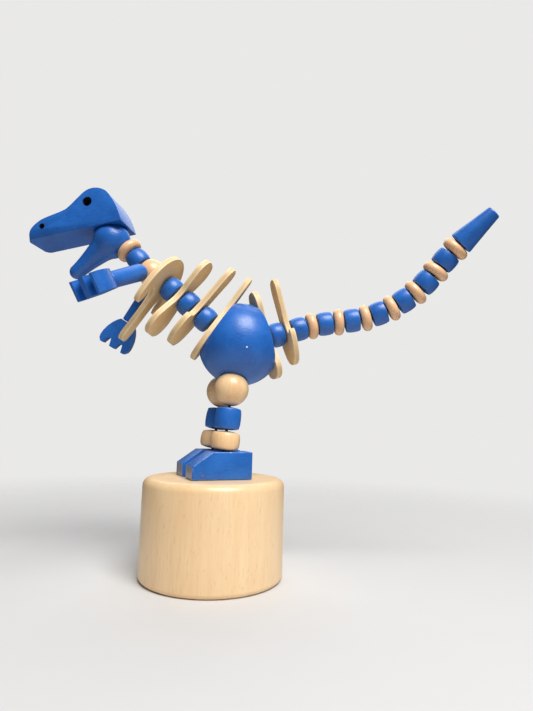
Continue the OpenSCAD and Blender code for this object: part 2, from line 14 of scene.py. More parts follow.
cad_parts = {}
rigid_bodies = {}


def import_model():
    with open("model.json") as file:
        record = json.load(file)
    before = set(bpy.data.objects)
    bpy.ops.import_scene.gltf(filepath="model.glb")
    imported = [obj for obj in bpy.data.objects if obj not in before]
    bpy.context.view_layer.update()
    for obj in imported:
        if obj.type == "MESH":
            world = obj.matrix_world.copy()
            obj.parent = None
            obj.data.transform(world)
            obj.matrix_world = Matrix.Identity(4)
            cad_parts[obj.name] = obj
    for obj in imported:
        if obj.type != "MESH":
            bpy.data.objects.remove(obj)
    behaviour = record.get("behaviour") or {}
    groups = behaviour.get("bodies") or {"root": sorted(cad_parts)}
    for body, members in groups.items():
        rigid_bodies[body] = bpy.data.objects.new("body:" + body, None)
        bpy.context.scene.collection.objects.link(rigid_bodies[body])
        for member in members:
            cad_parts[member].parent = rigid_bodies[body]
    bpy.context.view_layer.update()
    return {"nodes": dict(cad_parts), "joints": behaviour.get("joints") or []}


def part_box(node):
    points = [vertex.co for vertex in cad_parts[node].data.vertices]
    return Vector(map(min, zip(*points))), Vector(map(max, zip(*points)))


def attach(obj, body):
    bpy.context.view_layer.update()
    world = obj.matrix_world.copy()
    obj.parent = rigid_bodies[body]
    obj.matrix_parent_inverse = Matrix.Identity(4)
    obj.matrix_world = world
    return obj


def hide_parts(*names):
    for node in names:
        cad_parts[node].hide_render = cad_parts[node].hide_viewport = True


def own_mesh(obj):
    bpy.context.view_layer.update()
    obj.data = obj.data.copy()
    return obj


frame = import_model()

log = logging.getLogger("push_puppet")

# Sizes that several pieces share, in metres
MM = 0.001
GAP = 0.3 * MM
BORE_R = 1.3 * MM
CORD_R = 0.6 * MM
DOME_R = 18 * MM
WELD = 0.01 * MM

# Steps, shares and angles of the meshes
LATHE_STEPS = 72
TUBE_SIDES = 12
ROUND_STEPS = 5
EASE_STEPS = 4
EDGE_SHARE = 0.49
CREASE = math.radians(42)
EDGE_ANGLE = math.radians(35)
FLAT_ANGLE = math.radians(0.5)
UP = Vector((0, 0, 1))
FRAME_AXES = Matrix.Identity(4)

# Name of the wear stored on a mesh, and how far noise moves from piece to piece
WEAR = "wear"
PIECE_SPREAD = 50.0

Mesh = bmesh.types.BMesh
Piece = bpy.types.Object
Material = bpy.types.Material
Colour = tuple[float, float, float, float]
Point = tuple[float, float, float]
Corner = tuple[float, float, float]
Spot = tuple[float, float]
Span = tuple[float, float]
Number = Union["Sock", float]


def srgb(red: int, green: int, blue: int) -> Colour:
    """Turns a display colour of 8 bits a channel into a shader's linear colour.

    Args:
        red: Red, 0 to 255.
        green: Green, 0 to 255.
        blue: Blue, 0 to 255.

    Returns:
        The linear colour with full alpha.
    """
    shares = [channel / 255 for channel in (red, green, blue)]
    linear = [s / 12.92 if s <= 0.04045 else ((s + 0.055) / 1.055) ** 2.4 for s in shares]
    return (linear[0], linear[1], linear[2], 1.0)


class Slot(Enum):
    """Material slots of the record."""

    DRUM = "drum_wood"
    BEAD = "bead_wood"
    PLY = "plywood"
    PAINT = "blue_paint"
    CORD = "cord"
    STEEL = "spring_steel"


class Side(Enum):
    """The toy's two sides, as the bodies' names have them."""

    LEFT = "left"
    RIGHT = "right"


@dataclass(frozen=True)
class Speckle:
    """Noise in a finish: cells a metre, finer layers, their strength and a stretch of the axes."""

    scale: float
    detail: float = 2.0
    rough: float = 0.5
    stretch: Point = (1.0, 1.0, 1.0)


class Grain(Enum):
    """Which of a piece's own axes the wood's fibres follow."""

    ALONG_X = 0
    ALONG_Z = 2

    def drawn(self, speckle: Speckle, share: float) -> Speckle:
        """Draws noise out along the fibres.

        Args:
            speckle: The noise.
            share: Its cells a metre along the fibres, as a share of those across them.

        Returns:
            The drawn noise.
        """
        stretch = [1.0, 1.0, 1.0]
        stretch[self.value] = share
        return replace(speckle, stretch=tuple(stretch))


class Sock:
    """Output of a node, for use in Python expressions."""

    def __init__(self, tree: "FinishTree", socket: Optional[bpy.types.NodeSocket]) -> None:
        """Keeps the socket and the tree that it is in."""
        self.tree = tree
        self.socket = socket

    def _maths(self, operation: str, first: Number, second: Number) -> "Sock":
        """Adds a Math node for two values."""
        return self.tree.add("ShaderNodeMath", {"operation": operation}, {0: first, 1: second})

    def __add__(self, other: Number) -> "Sock":
        """Adds a value."""
        return self._maths("ADD", self, other)

    def __sub__(self, other: Number) -> "Sock":
        """Takes a value away."""
        return self._maths("SUBTRACT", self, other)

    def __rsub__(self, other: Number) -> "Sock":
        """Takes this away from a number."""
        return self._maths("SUBTRACT", other, self)

    def __mul__(self, other: Number) -> "Sock":
        """Multiplies by a value."""
        return self._maths("MULTIPLY", self, other)

    def __abs__(self) -> "Sock":
        """Gives the size without the sign."""
        return self._maths("ABSOLUTE", self, 0.0)

    __radd__ = __add__
    __rmul__ = __mul__


class FinishTree:
    """Node tree of one material or of the world."""

    def __init__(self, owner: Union[Material, bpy.types.World]) -> None:
        """Empties the owner's node tree.

        Args:
            owner: The material or world.
        """
        self.owner = owner
        owner.use_nodes = True
        self.nodes = owner.node_tree.nodes
        self.links = owner.node_tree.links
        self.nodes.clear()

    def add(
        self,
        kind: str,
        settings: Optional[dict[str, Any]] = None,
        sockets: Optional[dict[Union[str, int], Any]] = None,
        output: Union[str, int] = 0,
    ) -> Sock:
        """Adds a node.

        Args:
            kind: The node's type.
            settings: The node's own settings, set first.
            sockets: Values or links for its inputs, by name or number.
            output: Which output to give back.

        Returns:
            The chosen output, or an empty socket for a node without outputs.
        """
        node = self.nodes.new(kind)
        for key, value in (settings or {}).items():
            setattr(node, key, value)
        for key, value in (sockets or {}).items():
            if isinstance(value, Sock):
                self.links.new(value.socket, node.inputs[key])
            else:
                node.inputs[key].default_value = value
        return Sock(self, node.outputs[output] if len(node.outputs) else None)

    def local(self, stretch: Point = (1.0, 1.0, 1.0)) -> Sock:
        """Gives the place on the piece in its own axes, stretched along each of them."""
        place = self.add("ShaderNodeTexCoord", output="Object")
        return self.add("ShaderNodeVectorMath", {"operation": "MULTIPLY"}, {0: place, 1: stretch})

    def noise(self, speckle: Speckle) -> Sock:
        """Adds noise that differs from piece to piece.

        Args:
            speckle: What the noise is like.

        Returns:
            Values round 0.5.
        """
        sockets = {
            "Vector": self.local(speckle.stretch),
            "W": self.add("ShaderNodeObjectInfo", output="Random") * PIECE_SPREAD,
            "Scale": speckle.scale,
            "Detail": speckle.detail,
            "Roughness": speckle.rough,
        }
        return self.add("ShaderNodeTexNoise", {"noise_dimensions": "4D"}, sockets)

    def swing(self, speckle: Speckle) -> Sock:
        """Adds the same noise with values round 0."""
        return self.noise(speckle) - 0.5

    def blend(self, first: Sock, second: Sock, share: float) -> Sock:
        """Adds up the given share of the first value and the rest of the second."""
        return share * first + (1.0 - share) * second

    def ease(self, value: Sock, span: Span) -> Sock:
        """Steps smoothly from 0 to 1.

        Args:
            value: The value that decides.
            span: Where the step begins and ends.

        Returns:
            0 before the span and 1 past it.
        """
        sockets = {"Value": value, "From Min": span[0], "From Max": span[1]}
        return self.add("ShaderNodeMapRange", {"interpolation_type": "SMOOTHSTEP"}, sockets)

    def mix(self, share: Number, first: Union[Sock, Colour], second: Union[Sock, Colour]) -> Sock:
        """Mixes two colours, where a share of 0 is the first."""
        sockets = {0: share, 6: first, 7: second}
        return self.add("ShaderNodeMix", {"data_type": "RGBA"}, sockets, output=2)

    def worn(self) -> Sock:
        """Gives the wear stored on the piece's eased edges."""
        return self.add("ShaderNodeAttribute", {"attribute_name": WEAR}, output="Fac")

    def surface(
        self, colour: Sock, roughness: Sock, height: Sock, depth: float, **constants: Any
    ) -> Material:
        """Closes the tree with a surface.

        Args:
            colour: Base colour.
            roughness: Roughness.
            height: Relief, 0 to 1.
            depth: Metres of relief at a height of 1.
            constants: Other shader sockets, by name with underscores for spaces.

        Returns:
            The material.
        """
        normal = self.add("ShaderNodeBump", {}, {"Distance": depth, "Height": height})
        sockets = {"Base Color": colour, "Roughness": roughness, "Normal": normal}
        sockets.update({name.replace("_", " "): value for name, value in constants.items()})
        shader = self.add("ShaderNodeBsdfPrincipled", {}, sockets)
        self.add("ShaderNodeOutputMaterial", {}, {"Surface": shader})
        return self.owner


@dataclass(frozen=True)
class Finish:
    """A finish with its material, its slot in the record, its dullness and its relief."""

    name: str
    slot: Slot
    dull: float = 0.5
    uneven: float = 0.2
    relief: float = 0.05 * MM

    def material(self) -> Material:
        """Gives the finish's material, made on first use."""
        found = bpy.data.materials.get(self.name)
        return found or self.make(FinishTree(bpy.data.materials.new(self.name)))

    def make(self, tree: FinishTree) -> Material:
        """Fills the material's node tree.

        Args:
            tree: The empty tree of the finish's material.

        Returns:
            The material.
        """
        raise NotImplementedError


@dataclass(frozen=True)
class BluePaint(Finish):
    """Satin paint on wood, with pores under it and rubbed edges."""

    dull: float = 0.3
    uneven: float = 0.16
    relief: float = 0.13 * MM
    tone: Colour = srgb(34, 110, 200)
    deep: Colour = srgb(28, 95, 180)
    rubbed: Colour = srgb(112, 152, 212)
    bare: Colour = srgb(236, 214, 186)
    rubbing: float = 0.5
    rubbed_dull: float = 0.1
    coat: float = 0.18
    coat_dull: float = 0.22
    chip_at: Point = (0.0, 0.0, 0.0)
    chip_r: float = 0.0
    chip_core: float = 0.75
    chip_tone: Colour = srgb(236, 230, 220)
    pores: Speckle = Speckle(2400.0, 3.0, 0.6, (0.22, 1.0, 1.0))
    peel: Speckle = Speckle(1100.0)
    cloud: Speckle = Speckle(140.0)
    patches: Speckle = Speckle(380.0, 4.0, 0.7)
    nicks: Speckle = Speckle(900.0)
    ragged: Speckle = Speckle(1500.0, 3.0)
    tone_span: Span = (0.36, 0.62)
    patch_span: Span = (0.46, 0.62)
    nick_span: Span = (0.69, 0.72)

    def make(self, tree: FinishTree) -> Material:
        """Fills the material's node tree.

        Args:
            tree: The empty tree of the finish's material.

        Returns:
            The material.
        """
        pores = tree.noise(self.pores)
        cloud = tree.noise(self.cloud)
        tint = tree.ease(tree.blend(cloud, pores, share=0.55), self.tone_span)
        colour = tree.mix(tint, self.deep, self.tone)
        rubbed = tree.worn() * tree.ease(tree.noise(self.patches), self.patch_span)
        colour = tree.mix(rubbed * self.rubbing, colour, self.rubbed)
        nicks = tree.worn() * tree.ease(tree.noise(self.nicks), self.nick_span)
        colour = tree.mix(nicks * self.rubbing, colour, self.bare)
        if self.chip_r > 0:
            colour = tree.mix(self.chip(tree), colour, self.chip_tone)
        roughness = self.dull + self.uneven * cloud + self.rubbed_dull * rubbed
        height = tree.blend(pores, tree.noise(self.peel), share=0.6)
        coat = {"Coat_Weight": self.coat, "Coat_Roughness": self.coat_dull}
        return tree.surface(colour, roughness, height, self.relief, **coat)

    def chip(self, tree: FinishTree) -> Sock:
        """Masks the chip's ragged spot.

        Args:
            tree: The material's tree.

        Returns:
            1 inside the chip.
        """
        ends = {0: tree.local(), 1: self.chip_at}
        reach = tree.add("ShaderNodeVectorMath", {"operation": "DISTANCE"}, ends, output="Value")
        reach = reach + tree.swing(self.ragged) * self.chip_r
        return 1.0 - tree.ease(reach, (self.chip_core * self.chip_r, self.chip_r))


@dataclass(frozen=True)
class TurnedWood(Finish):
    """Clear satin lacquer on turned pale wood, with fibres and short flecks."""

    dull: float = 0.3
    uneven: float = 0.14
    relief: float = 0.03 * MM
    tone: Colour = srgb(252, 219, 172)
    band: Colour = srgb(245, 205, 154)
    fleck: Colour = srgb(216, 170, 120)
    grain: Grain = Grain.ALONG_X
    fibres: Speckle = Speckle(1500.0, 3.0, 0.6)
    bands: Speckle = Speckle(170.0, 2.0, 0.55)
    flecks: Speckle = Speckle(2100.0, 1.0)
    long_share: float = 0.07
    short_share: float = 0.185
    band_span: Span = (0.34, 0.68)
    fleck_span: Span = (0.61, 0.7)
    fleck_depth: float = 0.5
    flecking: float = 0.28
    rubbing: float = 0.12
    coat: float = 0.2
    coat_dull: float = 0.2

    def make(self, tree: FinishTree) -> Material:
        """Fills the material's node tree.

        Args:
            tree: The empty tree of the finish's material.

        Returns:
            The material.
        """
        fibres = tree.noise(self.grain.drawn(self.fibres, self.long_share))
        bands = tree.noise(self.grain.drawn(self.bands, self.long_share))
        flecks = tree.noise(self.grain.drawn(self.flecks, self.short_share))
        flecks = tree.ease(flecks, self.fleck_span)
        tint = tree.ease(tree.blend(bands, fibres, share=0.6), self.band_span)
        colour = tree.mix(tint, self.tone, self.band)
        colour = tree.mix(flecks * self.flecking, colour, self.fleck)
        colour = tree.mix(tree.worn() * self.rubbing, colour, self.fleck)
        roughness = self.dull + self.uneven * fibres
        height = fibres - self.fleck_depth * flecks
        coat = {"Coat_Weight": self.coat, "Coat_Roughness": self.coat_dull}
        return tree.surface(colour, roughness, height, self.relief, **coat)


@dataclass(frozen=True)
class Plywood(Finish):
    """Sanded plywood, with veneer grain on its faces and its core line on the rim."""

    dull: float = 0.48
    uneven: float = 0.14
    tone: Colour = srgb(248, 220, 172)
    band: Colour = srgb(236, 202, 150)
    core: Colour = srgb(204, 160, 112)
    pore: Colour = srgb(188, 142, 92)
    fibres: Speckle = Speckle(1700.0, 3.0, 0.6, (1.0, 1.0, 0.06))
    bands: Speckle = Speckle(150.0, 3.0, 0.6, (0.6, 1.0, 0.1))
    pores: Speckle = Speckle(2400.0, 1.0, stretch=(1.0, 1.0, 0.16))
    wander: Speckle = Speckle(2600.0, stretch=(0.3, 1.0, 1.0))
    band_span: Span = (0.34, 0.68)
    pore_span: Span = (0.62, 0.7)
    core_span: Span = (0.418 * MM, 0.616 * MM)
    core_wander: float = 0.3 * MM
    core_depth: float = 0.4
    showing: float = 0.3
    coat: float = 0.05

    def make(self, tree: FinishTree) -> Material:
        """Fills the material's node tree.

        Args:
            tree: The empty tree of the finish's material.

        Returns:
            The material.
        """
        fibres = tree.noise(self.fibres)
        tint = tree.ease(tree.blend(tree.noise(self.bands), fibres, share=0.6), self.band_span)
        colour = tree.mix(tint, self.tone, self.band)
        pores = tree.ease(tree.noise(self.pores), self.pore_span)
        colour = tree.mix(pores * self.showing, colour, self.pore)
        across = tree.add("ShaderNodeSeparateXYZ", {}, {0: tree.local()}, output="X")
        off = abs(across) + tree.swing(self.wander) * self.core_wander
        core = 1.0 - tree.ease(off, self.core_span)
        colour = tree.mix(core * self.showing, colour, self.core)
        roughness = self.dull + self.uneven * fibres
        height = fibres - self.core_depth * core
        return tree.surface(colour, roughness, height, self.relief, Coat_Weight=self.coat)


@dataclass(frozen=True)
class TwistedCord(Finish):
    """Dark cord of twisted strands, with painted shade in the hollows between them."""

    dull: float = 0.75
    relief: float = 0.12 * MM
    tone: Colour = srgb(46, 44, 46)
    # Colour of the hollows between the strands: painted shade, darker than the cord's own tone.
    painted_groove_shade: Colour = srgb(18, 17, 19)
    fuzz: Speckle = Speckle(4000.0)
    fuzz_depth: float = 0.3

    def make(self, tree: FinishTree) -> Material:
        """Fills the material's node tree.

        Args:
            tree: The empty tree of the finish's material.

        Returns:
            The material.
        """
        strands = tree.add(
            "ShaderNodeTexWave",
            {"wave_type": "BANDS", "bands_direction": "DIAGONAL"},
            {"Vector": tree.local(), "Scale": 420.0, "Distortion": 1.5, "Detail": 1.0},
            output="Fac",
        )
        fuzz = tree.noise(self.fuzz)
        # Mixes toward the darker colour where the strands' relief is low: painted shade in the hollows.
        colour = tree.mix(tree.blend(strands, fuzz, share=0.7), self.painted_groove_shade, self.tone)
        height = strands + self.fuzz_depth * fuzz
        return tree.surface(colour, self.dull + self.uneven * fuzz, height, self.relief)


DRILL_RINGS = Speckle(700.0, stretch=(1.0, 6.0, 1.0))


@dataclass(frozen=True)
class Clouded(Finish):
    """One tone clouded by another, with fine marks, such as the near-black inside of a drilled hole or
    a drawn wire.
    """

    tone: Colour = srgb(22, 24, 34)
    film: Colour = srgb(34, 40, 60)
    cloud: Speckle = DRILL_RINGS
    cloud_span: Span = (0.4, 0.65)
    marks: Speckle = DRILL_RINGS
    metal: float = 0.0

    def make(self, tree: FinishTree) -> Material:
        """Fills the material's node tree.

        Args:
            tree: The empty tree of the finish's material.

        Returns:
            The material.
        """
        cloud = tree.noise(self.cloud)
        colour = tree.mix(tree.ease(cloud, self.cloud_span), self.tone, self.film)
        roughness = self.dull + self.uneven * cloud
        return tree.surface(colour, roughness, tree.noise(self.marks), self.relief, Metallic=self.metal)


DRUM_WOOD = TurnedWood("lacquered drum wood", Slot.DRUM, grain=Grain.ALONG_Z)
BEAD_WOOD = TurnedWood(
    "lacquered bead wood",
    Slot.BEAD,
    dull=0.26,
    tone=srgb(251, 214, 164),
    band=srgb(240, 194, 142),
    fleck=srgb(206, 152, 100),
)
RING_WOOD = TurnedWood(
    "lacquered ring wood",
    Slot.BEAD,
    dull=0.26,
    tone=srgb(252, 205, 158),
    band=srgb(244, 191, 143),
    fleck=srgb(204, 150, 104),
)
PLY = Plywood("sanded plywood", Slot.PLY)
PAINT = BluePaint("satin blue paint", Slot.PAINT)
TOE_PAINT = BluePaint(
    "rubbed toe paint",
    Slot.PAINT,
    tone=srgb(146, 160, 204),
    deep=srgb(124, 138, 184),
    rubbed=srgb(130, 152, 200),
)
CHIP_PAINT = BluePaint(
    "satin blue paint with a chip",
    Slot.PAINT,
    chip_at=(3.26 * MM, -16.51 * MM, -3.43 * MM),
    chip_r=0.4 * MM,
)
SPECK_PAINT = BluePaint(
    "satin blue paint with a red speck",
    Slot.PAINT,
    chip_at=(9.46 * MM, 5.0 * MM, 1.75 * MM),
    chip_r=0.36 * MM,
    chip_tone=srgb(186, 74, 78),
)
# Near-black colour for the faces inside the eye and nostril holes.
HOLE = Clouded("dark drilled hole", Slot.PAINT, dull=0.6)
CORD = TwistedCord("twisted dark cord", Slot.CORD)
WIRE = Clouded(
    "drawn spring wire",
    Slot.STEEL,
    dull=0.24,
    relief=0.02 * MM,
    tone=srgb(196, 198, 202),
    film=srgb(150, 146, 140),
    cloud=Speckle(240.0, 3.0),
    cloud_span=(0.4, 0.7),
    marks=Speckle(1800.0, stretch=(1.0, 1.0, 8.0)),
    metal=1.0,
)

JOINTS = {joint["child"]: joint for joint in frame["joints"]}


def pivot(body: str) -> Vector:
    """Gives the place of the joint that carries a body."""
    return Vector(JOINTS[body]["pos_m"])


def hinge(body: str) -> Vector:
    """Gives the axis of the joint that carries a body."""
    return Vector(JOINTS[body]["axis"]).normalized()


def middle(node: str) -> Vector:
    """Gives the middle of a node's box."""
    low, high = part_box(node)
    return (low + high) / 2


def broadside(node: str) -> Vector:
    """Gives the direction that a node's largest face looks in."""
    return max(frame["nodes"][node].data.polygons, key=lambda face: face.area).normal.copy()


def corners_of(node: str) -> list[Vector]:
    """Gives the places of a node's corners."""
    return [vert.co for vert in frame["nodes"][node].data.vertices]


def mean(points: Sequence[Vector]) -> Vector:
    """Gives the mean of some places."""
    return sum(points, Vector()) / len(points)


def clamped(value: float) -> float:
    """Keeps a value between 0 and 1."""
    return min(max(value, 0.0), 1.0)


def seat(origin: Vector, along: Vector, across: Vector) -> Matrix:
    """Makes a piece's own axes.

    Args:
        origin: Where they start.
        along: Direction of +X.
        across: Direction near +Y.

    Returns:
        The matrix from the piece's axes to the frame's.
    """
    x = along.normalized()
    z = x.cross(across).normalized()
    axes = Matrix((x, z.cross(x), z)).transposed()
    return Matrix.Translation(origin) @ axes.to_4x4()


def stops_along(bodies: Sequence[str]) -> list[Vector]:
    """Finds where the cord enters each of the pieces strung end to end.

    A piece whose joint spans the piece before it starts where that piece ends, which is as far
    past that piece's middle as its start is before it.

    Args:
        bodies: The pieces' bodies, in order.

    Returns:
        One place for each piece.
    """
    stops = [pivot(bodies[0])]
    for before, body in zip(bodies, bodies[1:]):
        spans = JOINTS[body]["parent"] != before
        stops.append(2 * middle(before) - stops[-1] if spans else pivot(body))
    return stops


def strung(bodies: Sequence[str], end: Vector) -> dict[str, Matrix]:
    """Makes the axes of pieces strung end to end.

    Args:
        bodies: The pieces' bodies, in order.
        end: Where the last piece ends.

    Returns:
        Axes by body, each from its start toward the next piece.
    """
    stops = [*stops_along(bodies), end]
    spans = zip(bodies, stops, stops[1:])
    return {body: seat(start, stop - start, hinge(body)) for body, start, stop in spans}


def arc(centre: Spot, radius: float, turn: Span, steps: int, wear: float = 0.0) -> list[Corner]:
    """Sweeps an arc of an outline.

    Args:
        centre: Its centre's place along the axis and distance from it.
        radius: Its radius.
        turn: Angles of its start and end, 0 toward the axis's start and a right angle outward.
        steps: How many steps it takes.
        wear: Wear of its points.

    Returns:
        Place, distance and wear, for each point.
    """
    x, y = centre
    angles = [turn[0] + (turn[1] - turn[0]) * k / steps for k in range(steps + 1)]
    return [(x - radius * math.cos(a), y + radius * math.sin(a), wear) for a in angles]


def eased(corners: Sequence[Corner]) -> list[Corner]:
    """Rounds the corners of a closed outline.

    Args:
        corners: Place along the axis, distance from it and corner radius, for each corner.

    Returns:
        Place, distance and wear, for each point.
    """
    points: list[Corner] = []
    for i, (x, y, radius) in enumerate(corners):
        here = Vector((x, y))
        if radius <= 0:
            points.append((x, y, 0.0))
            continue
        before = Vector(corners[i - 1][:2]) - here
        after = Vector(corners[(i + 1) % len(corners)][:2]) - here
        half = before.angle(after) / 2
        shorter = min(before.length, after.length)
        inset = min(radius / math.tan(half), EDGE_SHARE * shorter)
        radius = inset * math.tan(half)
        inward = (before.normalized() + after.normalized()).normalized()
        centre = here + inward * (radius / math.sin(half))
        start = here + before.normalized() * inset - centre
        finish = here + after.normalized() * inset - centre
        for k in range(ROUND_STEPS + 1):
            share = k / ROUND_STEPS
            spoke = start.slerp(finish, share) * radius
            rub = math.sin(math.pi * share)
            points.append((centre.x + spoke.x, centre.y + spoke.y, rub))
    return points


def shaped(made: Mesh, name: str) -> bpy.types.Mesh:
    """Turns an edited mesh into a smooth-shaded one with creases kept.

    Args:
        made: The edited mesh, freed here.
        name: The mesh's name.

    Returns:
        The finished mesh.
    """
    bmesh.ops.recalc_face_normals(made, faces=made.faces)
    for face in made.faces:
        face.smooth = True
    mesh = bpy.data.meshes.new(name)
    made.to_mesh(mesh)
    made.free()
    mesh.set_sharp_from_angle(angle=CREASE)
    return mesh


def turned(outline: Sequence[Corner], closed: bool = True) -> Mesh:
    """Spins an outline round X, as a lathe does.

    Args:
        outline: Place along X, radius and wear, for each point.
        closed: Whether the last point joins the first, as on a bored piece.

    Returns:
        The edited mesh.
    """
    made = bmesh.new()
    wear = made.verts.layers.float.new(WEAR)
    rings: list[list[bmesh.types.BMVert]] = []
    for x, radius, rub in outline:
        rings.append([])
        for k in range(LATHE_STEPS if radius > WELD else 1):
            angle = 2 * math.pi * k / LATHE_STEPS
            vert = made.verts.new((x, radius * math.cos(angle), radius * math.sin(angle)))
            vert[wear] = rub
            rings[-1].append(vert)
    for first, second in zip(rings, rings[1:] + rings[:1] if closed else rings[1:]):
        for k in range(LATHE_STEPS):
            n = (k + 1) % LATHE_STEPS
            around = ((first, k), (second, k), (second, n), (first, n))
            corners = list(dict.fromkeys(ring[i % len(ring)] for ring, i in around))
            if len(corners) > 2:
                made.faces.new(corners)
    return made


def copied(node: str, place: Matrix) -> Mesh:
    """Copies a node's mesh with its flat faces whole.

    Args:
        node: The CAD node.
        place: Axes that the copy is written in.

    Returns:
        The edited mesh.
    """
    made = bmesh.new()
    made.from_mesh(frame["nodes"][node].data)
    made.transform(place.inverted())
    bmesh.ops.remove_doubles(made, verts=made.verts, dist=WELD)
    bmesh.ops.dissolve_limit(
        made, angle_limit=FLAT_ANGLE, use_dissolve_boundaries=False, verts=made.verts, edges=made.edges
    )
    return made


def sanded(made: Mesh, width: float) -> Mesh:
    """Eases the sharp edges of a mesh and stores their wear.

    Args:
        made: The edited mesh.
        width: How far the easing reaches from an edge.

    Returns:
        The same mesh.
    """
    wear = made.verts.layers.float.new(WEAR)
    whole = [edge for edge in made.edges if len(edge.link_faces) == 2]
    eased_parts = bmesh.ops.bevel(
        made,
        geom=[edge for edge in whole if edge.calc_face_angle() > EDGE_ANGLE],
        offset=width,
        offset_type="OFFSET",
        segments=EASE_STEPS,
        profile=0.5,
        affect="EDGES",
        clamp_overlap=True,
    )
    easing = set(eased_parts["faces"])
    for vert in eased_parts["verts"]:
        vert[wear] = 1.0 if all(face in easing for face in vert.link_faces) else 0.0
    return made


def sawn(outline: Sequence[Spot], thickness: float) -> Mesh:
    """Saws a block from an outline.

    Args:
        outline: Points along X and Z.
        thickness: Thickness along Y, half to each side.

    Returns:
        The edited mesh.
    """
    made = bmesh.new()
    near, far = [
        [made.verts.new((x, y, z)) for x, z in outline] for y in (-thickness / 2, thickness / 2)
    ]
    for i in range(len(outline)):
        made.faces.new((near[i - 1], near[i], far[i], far[i - 1]))
    made.faces.new(near)
    made.faces.new(far)
    return made


def straight(start: Vector, end: Vector, steps: int) -> list[Vector]:
    """Gives places at even steps from one place to another."""
    return [start.lerp(end, k / steps) for k in range(steps + 1)]


def tube(route: Sequence[Vector], radius: float, sides: int = TUBE_SIDES) -> Mesh:
    """Makes a closed tube along a route.

    Args:
        route: Points of its middle line.
        radius: Its radius.
        sides: Faces round it.

    Returns:
        The edited mesh.
    """
    made = bmesh.new()
    rings = []
    side = (route[1] - route[0]).orthogonal().normalized()
    angles = [2 * math.pi * k / sides for k in range(sides)]
    for i, point in enumerate(route):
        ahead = (route[min(i + 1, len(route) - 1)] - route[max(i - 1, 0)]).normalized()
        side = (side - ahead * side.dot(ahead)).normalized()
        up = ahead.cross(side)
        spokes = [side * math.cos(a) + up * math.sin(a) for a in angles]
        rings.append([made.verts.new(point + radius * spoke) for spoke in spokes])
    for first, second in zip(rings, rings[1:]):
        for k in range(sides):
            n = (k + 1) % sides
            made.faces.new((first[k], second[k], second[n], first[n]))
    made.faces.new(rings[0])
    made.faces.new(rings[-1])
    return made


def fitted(name: str, made: Mesh, place: Matrix, body: str, node: str, finish: Finish) -> Piece:
    """Puts a piece in the scene on its body.

    Args:
        name: The piece's name.
        made: Its edited mesh, in its own axes.
        place: Its axes in the frame.
        body: The body that it rides on.
        node: The CAD node that it stands for.
        finish: Its main finish.

    Returns:
        The piece.
    """
    piece = bpy.data.objects.new(name, shaped(made, name))
    bpy.context.scene.collection.objects.link(piece)
    piece.data.materials.append(finish.material())
    piece.matrix_world = place
    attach(piece, body)
    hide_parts(node)
    log.info("%s rides on %s in %s", name, body, finish.name)
    return piece


class Turning:
    """Piece turned on a lathe round its own X axis."""

    bored: ClassVar[bool] = True

    def outline(self) -> list[Corner]:
        """Gives place, radius and wear for each point that the lathe follows."""
        raise NotImplementedError

    def build(self, body: str, place: Matrix, finish: Finish) -> None:
        """Turns the piece.

        Args:
            body: The body that it rides on, with the name of its node.
            place: Its axes in the frame.
            finish: Its finish.
        """
        made = turned(self.outline(), closed=self.bored)
        fitted(f"{body}_turned", made, place, body, body, finish)


@dataclass
class TurnedBead(Turning):
    """Bead with a bulging side, domed ends, eased edges and a cord hole."""

    d: float
    end_d: float
    l: float
    edge: float = 0.8 * MM
    longer: float = 0.0
    hole_edge: float = 0.25 * MM
    side_shares: Point = (0.28, 0.5, 0.72)

    def outline(self) -> list[Corner]:
        """Gives the closed outline from one end's hole to the other's.

        Returns:
            Place, radius and wear, for each point.
        """
        start = GAP / 2 - self.longer / 2
        length = self.l + self.longer
        end_r = self.end_d / 2
        bulge = (self.d - self.end_d) / 2
        rims = [(BORE_R, self.hole_edge), ((BORE_R + end_r) / 2, 0.0), (end_r, self.edge)]
        near = [(start + r**2 / (2 * DOME_R), r, edge) for r, edge in rims]
        far = [(start + length - r**2 / (2 * DOME_R), r, edge) for r, edge in reversed(rims)]
        side = [
            (start + length * share, end_r + bulge * (1 - (2 * share - 1) ** 2), 0.0)
            for share in self.side_shares
        ]
        return eased([*near, *side, *far])


@dataclass
class RoundRing(Turning):
    """Ring with a full round rim and a cord hole."""

    d: float
    t: float = 4 * MM
    rim_steps: int = 14
    rim_wear: float = 0.5

    def outline(self) -> list[Corner]:
        """Gives the closed outline from one side's hole to the other's.

        Returns:
            Place, radius and wear, for each point.
        """
        start = GAP / 2
        half = self.t / 2
        out = self.d / 2 - half
        rim = arc((start + half, out), half, (0.0, math.pi), self.rim_steps)
        worn = [(x, y, self.rim_wear * (y - out) / half) for x, y, _ in rim]
        return [(start, BORE_R, 0.0), *worn, (start + self.t, BORE_R, 0.0)]


@dataclass
class HipBall(Turning):
    """Ball with a cord hole."""

    d: float = 13.5 * MM
    steps: int = 30

    def outline(self) -> list[Corner]:
        """Gives the closed outline from one end's hole to the other's."""
        start = math.asin(2 * BORE_R / self.d)
        return arc((GAP / 2 + self.d / 2, 0.0), self.d / 2, (start, math.pi - start), self.steps)


@dataclass
class TailTip(Turning):
    """Tapered last piece of the tail."""

    bored: ClassVar[bool] = False
    d: float = 10.4 * MM
    end_d: float = 5.6 * MM
    l: float = 17.5 * MM
    edge: float = 0.6 * MM
    dip: float = 0.5 * MM
    half_dip: float = 0.1 * MM

    def outline(self) -> list[Corner]:
        """Gives the open outline from the thick end's middle to the thin end's.

        Returns:
            Place, radius and wear, for each point.
        """
        start = GAP / 2
        corners = [
            (start, 0.0, 0.0),
            (start + self.half_dip, self.d / 4, 0.0),
            (start + self.dip, self.d / 2, self.edge),
            (start + self.l / 2, (self.d + self.end_d) / 4, 0.0),
            (start + self.l, self.end_d / 2, self.edge),
            (start + self.l, 0.0, 0.0),
        ]
        return eased(corners)


